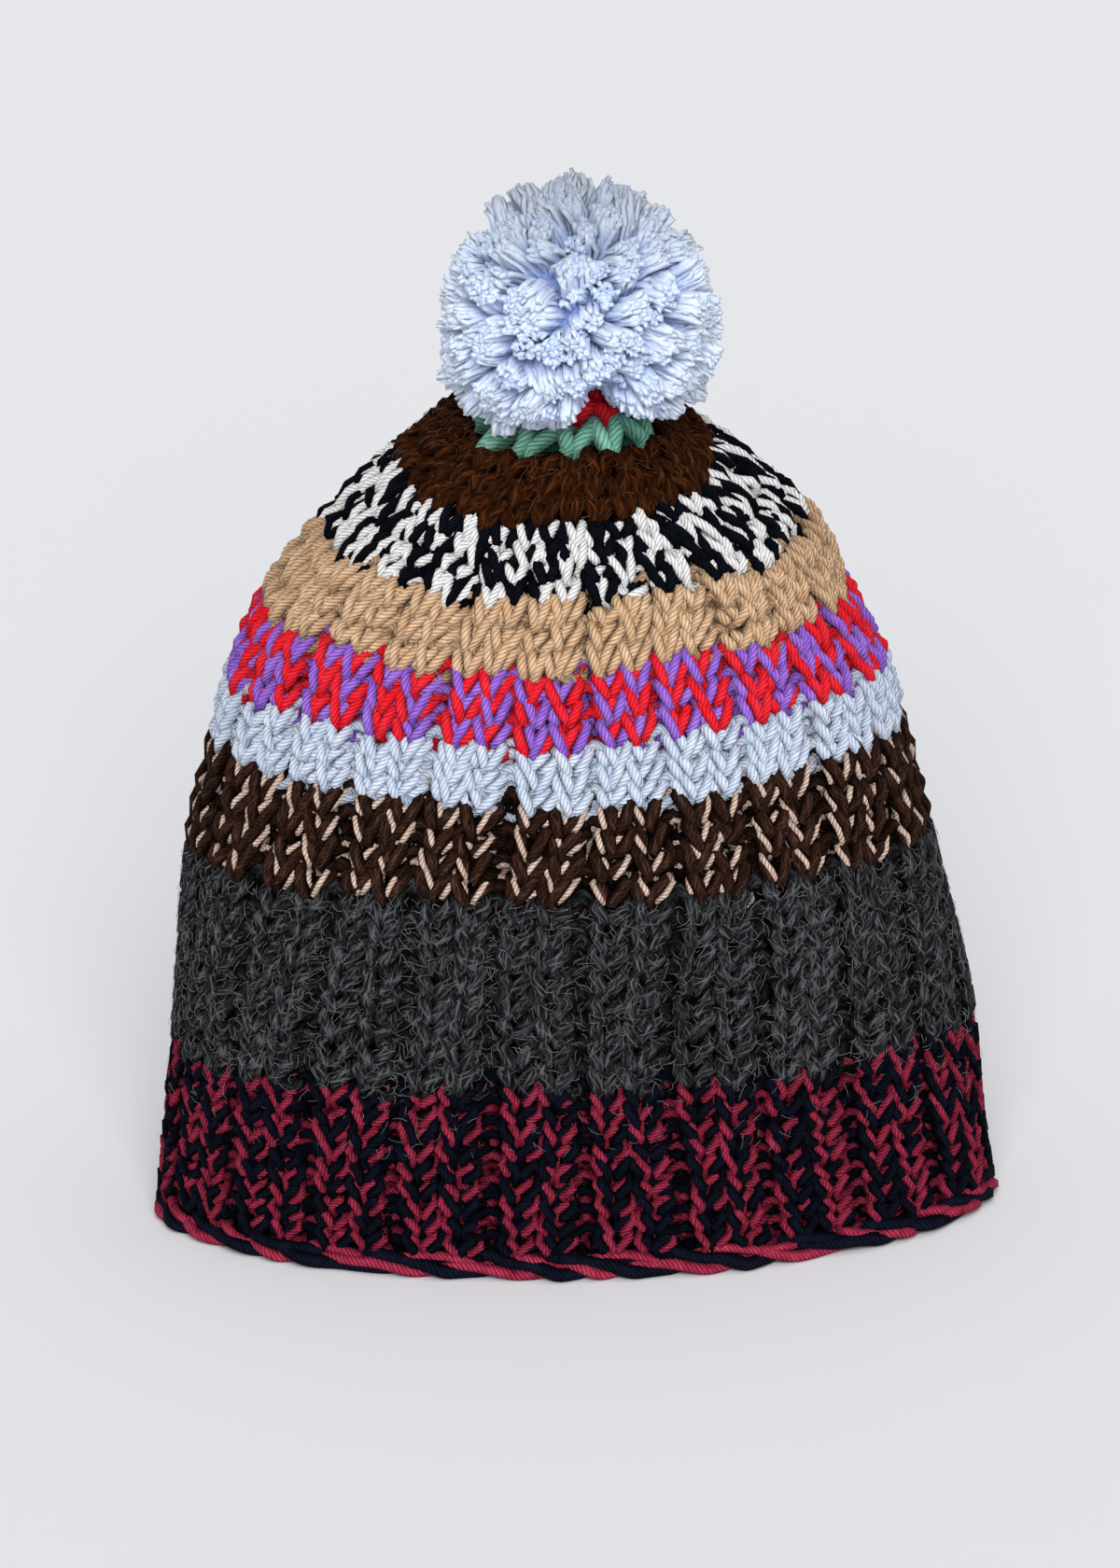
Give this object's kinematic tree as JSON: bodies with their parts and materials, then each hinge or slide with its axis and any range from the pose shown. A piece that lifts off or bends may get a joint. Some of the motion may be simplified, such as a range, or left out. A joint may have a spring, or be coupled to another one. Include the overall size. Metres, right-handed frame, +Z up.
{
  "type": "pom-pom knit hat",
  "caption": "Chunky rib-knit pull-on hat in stripes of marled and plain yarn, open at the brim, gathered at the crown under a full yarn pompom.",
  "frame": {"origin": "centre of the brim's base, on the surface that the hat stands on", "axes": "+Z up from the brim to the pompom, +X to the right seen from the front, front face towards -Y"},
  "size_m": [0.2177, 0.124, 0.2787],
  "materials": {
    "navy_burgundy_yarn": "navy and burgundy plied yarns knitted together",
    "charcoal_wool": "brushed dark grey wool with loose fibres",
    "brown_beige_yarn": "thick dark brown yarn with a thin beige strand",
    "sky_blue_yarn": "soft pale blue plied yarn",
    "red_violet_yarn": "red and violet plied yarns knitted together",
    "tan_yarn": "tan plied yarn",
    "black_white_yarn": "black and off-white yarns knitted together",
    "brown_wool": "brushed brown wool",
    "green_yarn": "sea green plied yarn",
    "red_yarn": "red plied yarn",
    "pompom_yarn": "pale blue cut yarn ends"
  },
  "bodies": {
    "root": {"cast_on_edge": "navy_burgundy_yarn", "brim_band": "navy_burgundy_yarn", "charcoal_band": "charcoal_wool", "fleck_band": "brown_beige_yarn", "sky_band": "sky_blue_yarn", "red_violet_band": "red_violet_yarn", "tan_band": "tan_yarn", "black_white_band": "black_white_yarn", "brown_band": "brown_wool", "green_band": "green_yarn", "crown_tip": "red_yarn", "pompom": "pompom_yarn"}
  },
  "joints": []
}
